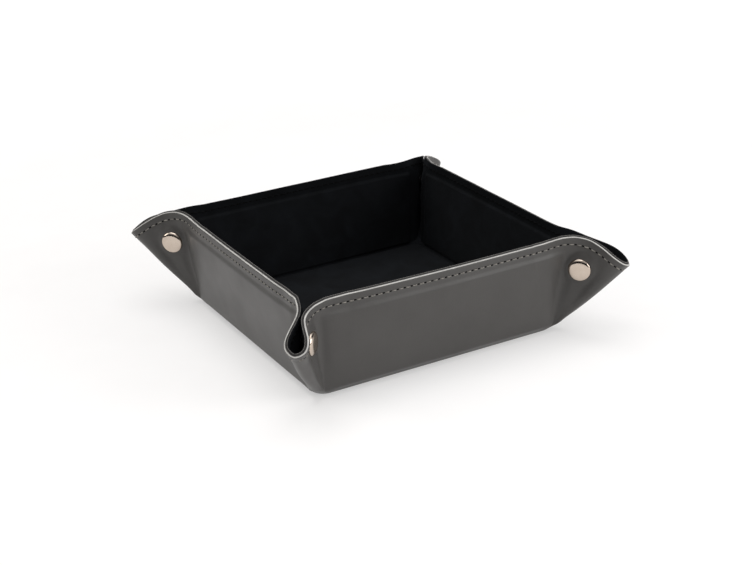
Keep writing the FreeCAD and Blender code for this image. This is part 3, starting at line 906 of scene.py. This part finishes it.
def seam_frame(line, out, distance):
    # The point of the seam at a distance from the wall's middle, with its own three directions
    column = np.interp(distance, SEAM_LENGTHS, np.arange(len(SEAM_LENGTHS)))
    low = min(int(column), len(line) - 2)
    ahead = line[low + 1] - line[low]
    centre = line[low] + ahead * (column - low)
    ahead = ahead / np.linalg.norm(ahead)
    return centre, out[low], ahead, np.cross(ahead, out[low])


def stitch_rings(line, out, n):
    cos, sin = circle(6)
    rings = []
    for share, size, rise in STATIONS:
        distance = (n + 0.5) * PITCH + (share - 0.5) * STITCH
        centre, up, _, beside = seam_frame(line, out, distance)
        oval = cos * THREAD_HALF_WIDTH * beside + sin * THREAD_HALF_HEIGHT * up
        rings.append(centre + rise * up + size * oval)
    return rings


def hole_rings(line, out, n):
    cos, sin = circle(8)
    centre, up, ahead, beside = seam_frame(line, out, n * PITCH)
    oval = cos * HOLE_HALF_LONG * ahead + sin * HOLE_HALF_WIDE * beside
    return [centre + size * oval + rise * up for size, rise in DENT]


# %% Sew the seam
def loft(rings, kind, parts, faces, marks):
    # Rings of equal length joined one to the next, with both ends closed
    sides, start = len(rings[0]), sum(len(part) for part in parts)
    for a in range(start, start + (len(rings) - 1) * sides, sides):
        for k in range(sides):
            n = (k + 1) % sides
            faces.append((a + k, a + n, a + sides + n, a + sides + k))
    last = start + (len(rings) - 1) * sides
    faces += [tuple(range(start, start + sides))[::-1], tuple(range(last, last + sides))]
    marks += [kind] * (len(faces) - len(marks))
    parts += rings


def sew(name, wall, ends, stretch, layer):
    face, side, thread = ((FACES["leather"][0], 1, grey_thread) if layer == "leather"
                          else (FACES["lining"][1], -1, black_thread))
    parts, faces, marks = [], [], []
    for end in ends:
        line, out = leaned(face, wall, end)[SEAM], side * NORMALS[SEAM]
        for n in range(CUTS[stretch], CUTS[stretch + 1]):
            # The two halves of a wall share the hole in its middle
            for mark, rings_of in enumerate([stitch_rings, hole_rings][:2 if n or not end else 1]):
                rings = [place(ring, wall, end) for ring in rings_of(line, out, n)]
                loft(rings, mark, parts, faces, marks)
    # The holes' material paints a shadow into each dent.
    return closed_piece(name, parts, faces, marks, [thread, needle_hole_painted_shadow])


for wall, side in enumerate(WALLS):
    for layer in FACES:
        row = sew(f"stitches_{side}_{layer}", wall, (0, 1), 0, layer)
        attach(row, f"wall_{side}")
        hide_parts(f"wall_{side}_stitching")
        for end in (0, 1):
            ear = ear_name(wall, end)
            hold_flank(sew(f"stitches_flank_{ear}_{layer}", wall, (end,), 1, layer), wall, end)
            hold_loop(sew(f"stitches_loop_{ear}_{layer}", wall, (end,), 2, layer), wall, end)

# %% [markdown]
# ## Snap caps
# A cap is drawn from thin brass, so its face is nearly flat and turns into a broad, soft roll at
# the edge. The roll is what shows the dark ring and the bright arcs. The cap is turned here from
# half its outline: head, then the barrel through the sheet, then the flare that clenches it.

# %% Caps
CAP_RADIUS, CAP_HEIGHT, CAP_COLLAR = 6.6, 1.7, 0.2
BARREL_RADIUS, FLARE_RADIUS, FLARE_DEPTH, FLARE_THICK = 1.6, 2.1, 3.0, 0.25
MIDDLE_RADIUS, CAP_SIDES = 0.3, 64
CAP_PLACES = {"front_left": (0, 0), "front_right": (0, 1), "back_right": (1, 1),
              "back_left": (3, 0)}
CAP_STOPS = [0.08, 0.3, 0.5, 0.6, 0.68, 0.75, 0.8, 0.84, 0.88, 0.91, 0.94, 0.96, 0.98, 0.993, 1.0]
head = [(CAP_RADIUS * r, CAP_COLLAR + CAP_HEIGHT * math.sqrt(1 - r**4)) for r in CAP_STOPS]
shank = [(CAP_RADIUS, 0.0), (BARREL_RADIUS, 0.0), (BARREL_RADIUS, -FLARE_DEPTH),
         (FLARE_RADIUS, -FLARE_DEPTH), (FLARE_RADIUS, -FLARE_DEPTH - FLARE_THICK),
         (MIDDLE_RADIUS, -FLARE_DEPTH - FLARE_THICK)]
snap_out = OUT * math.cos(SNAP_ANGLE) - UP * math.sin(SNAP_ANGLE)
snap_foot = SNAP_CENTRE + SEAT_WIDTH * ACROSS
cos, sin = circle(CAP_SIDES)
rim_circle = cos * snap_out + sin * np.cross(ACROSS, snap_out)
turned = [snap_foot + h * ACROSS + r * rim_circle for r, h in head + shank]
for corner, (wall, end) in CAP_PLACES.items():
    parts, faces, marks = [], [], []
    loft([place(ring, wall, end) for ring in turned], 0, parts, faces, marks)
    cap = closed_piece(f"cap_{corner}", parts, faces, marks, [bright_nickel])
    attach(cap, f"ear_{ear_name(wall, end)}")
    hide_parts(f"snap_cap_{corner}")
print("Caps:", ", ".join(CAP_PLACES))

# %% [markdown]
# ## Camera
# The camera was fitted to the photograph from the rims, the tips of the ears, the base's edges and
# a snap cap. Its focal length is given in pixels of the photograph's width, which a camera of any
# sensor can use. It is rolled a little, and nothing is out of focus.

# %% Camera
PHOTO_WIDTH, FOCAL_PIXELS = 753, 1621
TURN, TILT, ROLL = (math.radians(a) for a in (-28.1, 23.38, -2.73))
CAMERA_PLACE = Vector((-0.4102, -0.7738, 0.3996))
camera = bpy.data.objects.new("camera", bpy.data.cameras.new("camera"))
bpy.context.scene.collection.objects.link(camera)
bpy.context.scene.camera = camera
camera.data.lens = camera.data.sensor_width * FOCAL_PIXELS / PHOTO_WIDTH
camera.data.clip_start, camera.data.clip_end = 0.01, 50
back = Vector((math.sin(TURN) * math.cos(TILT), -math.cos(TURN) * math.cos(TILT), math.sin(TILT)))
level = Vector((math.cos(TURN), math.sin(TURN), 0))
right = level * math.cos(ROLL) + back.cross(level) * math.sin(ROLL)
axes = Matrix((right, back.cross(right), back)).transposed().to_4x4()
camera.matrix_world = Matrix.Translation(CAMERA_PLACE) @ axes
print("Lens, mm:", round(camera.data.lens, 1))

# %% [markdown]
# ## Table, sky and lamps
# The tray stands on a white acrylic table that is lit from below, as the photograph's faint
# shadows and pure white ground say: about half of the table's light is its own, so a shadow can
# take away only the other half. Further off the table glows more, so the ground stays white up to
# the horizon. The lamps are large softboxes, one overhead, one on the left
# that makes the left wall brighter than the front, and one at the right that lights the ears. The
# sky is darker near the horizon, so that the nickel has something dark to mirror.

# %% Table
LIT_BELOW, LIT_FAR_OFF = 0.42, 1.0
GLOW_GROWS_FROM, GLOW_GROWS_TO, TABLE_HALF = 0.4, 2.0, 6.0
white_acrylic, tree, shader, at = start_material("white acrylic light table", IOR=1.49,
                                                 Roughness=0.9, Specular_IOR_Level=0.2)
cloud = add_node(tree, "ShaderNodeTexNoise", {"Vector": at, "Scale": scale_for(30), "Detail": 3.0})
shade = add_node(tree, "ShaderNodeValToRGB", {"Fac": cloud}, [(0.3, "#c3c1c0"), (0.7, "#c5c3c2")])
tree.links.new(shade.outputs[0], shader.inputs["Base Color"])
shader.inputs["Emission Color"].default_value = (1, 1, 1, 1)
away = add_node(tree, "ShaderNodeVectorMath", {0: at}, operation="LENGTH").outputs["Value"]
glow = add_node(tree, "ShaderNodeMapRange", {"Value": away, "From Min": GLOW_GROWS_FROM,
                                            "From Max": GLOW_GROWS_TO,
                                            "To Min": LIT_BELOW, "To Max": LIT_FAR_OFF})
tree.links.new(glow.outputs[0], shader.inputs["Emission Strength"])
table_mesh = bpy.data.meshes.new("table")
table_corners = [(x * TABLE_HALF, y * TABLE_HALF, 0)
                 for x, y in ((-1, -1), (1, -1), (1, 1), (-1, 1))]
table_mesh.from_pydata(table_corners, [], [(0, 1, 2, 3)])
table_mesh.materials.append(white_acrylic)
table = bpy.data.objects.new("table", table_mesh)
bpy.context.scene.collection.objects.link(table)

# %% Sky
SKY_LOW, SKY_HIGH, SKY_STRENGTH = "#242426", "#f0f0f0", 0.75
sky = bpy.data.worlds.new("studio sky")
bpy.context.scene.world = sky
sky.use_nodes = True
tree = sky.node_tree
direction = add_node(tree, "ShaderNodeTexCoord", {}).outputs["Generated"]
height = add_node(tree, "ShaderNodeSeparateXYZ", {"Vector": direction}).outputs["Z"]
shade = add_node(tree, "ShaderNodeValToRGB", {"Fac": height}, [(0.34, SKY_LOW), (0.7, SKY_HIGH)])
light = add_node(tree, "ShaderNodeBackground", {"Color": shade, "Strength": SKY_STRENGTH})
white = add_node(tree, "ShaderNodeBackground", {"Color": (1, 1, 1, 1), "Strength": 1.0})
seen = add_node(tree, "ShaderNodeLightPath", {}).outputs["Is Camera Ray"]
chosen = add_node(tree, "ShaderNodeMixShader", {0: seen, 1: light, 2: white})
tree.links.new(chosen.outputs[0], tree.nodes["World Output"].inputs["Surface"])


# %% Lamps
def lamp(name, place_at, aim, size, watts, colour):
    made = bpy.data.objects.new(name, bpy.data.lights.new(name, "AREA"))
    made.data.size, made.data.energy = size, watts
    made.data.color = linear(colour)[:3]
    made.location = place_at
    made.rotation_euler = (Vector(aim) - Vector(place_at)).to_track_quat("-Z", "Y").to_euler()
    bpy.context.scene.collection.objects.link(made)


lamp("overhead softbox", (-0.1, 0.2, 2.4), (0, 0, 0), 2.0, 31, "#ffffff")
lamp("left back softbox", (-2.3, 1.0, 1.2), (0, 0, 0.03), 1.2, 16, "#fffdf8")
lamp("right front softbox", (0.72, -0.98, 0.42), (0, 0, 0.03), 0.6, 7.5, "#ffffff")
bpy.context.scene.view_settings.view_transform = "Standard"
